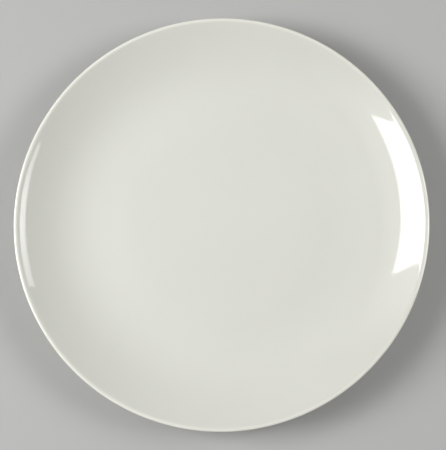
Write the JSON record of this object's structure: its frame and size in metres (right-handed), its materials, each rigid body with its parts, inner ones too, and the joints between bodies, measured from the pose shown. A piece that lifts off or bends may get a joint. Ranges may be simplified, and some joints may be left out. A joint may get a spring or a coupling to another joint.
{
  "type": "salad plate",
  "caption": "Round white coupe salad plate: a flat well curves up into a shallow wall with a rolled lip, on a turned foot ring with a bare standing face, glossy ivory glaze elsewhere.",
  "frame": {"origin": "on the axis of the plate, in the plane that the foot ring stands on", "axes": "+Z is the axis of the plate, pointing up out of the well; +X and +Y lie in the table plane, and the plate is turned, so they may point anywhere in it"},
  "size_m": [0.21, 0.21, 0.0191],
  "materials": {
    "bare_porcelain": "matte",
    "ivory_glaze": "polished",
    "ivory_base_glaze": "polished"
  },
  "bodies": {
    "root": {"plate_body": "bare_porcelain", "glaze_coat": "ivory_glaze", "base_glaze": "ivory_base_glaze"}
  },
  "joints": []
}
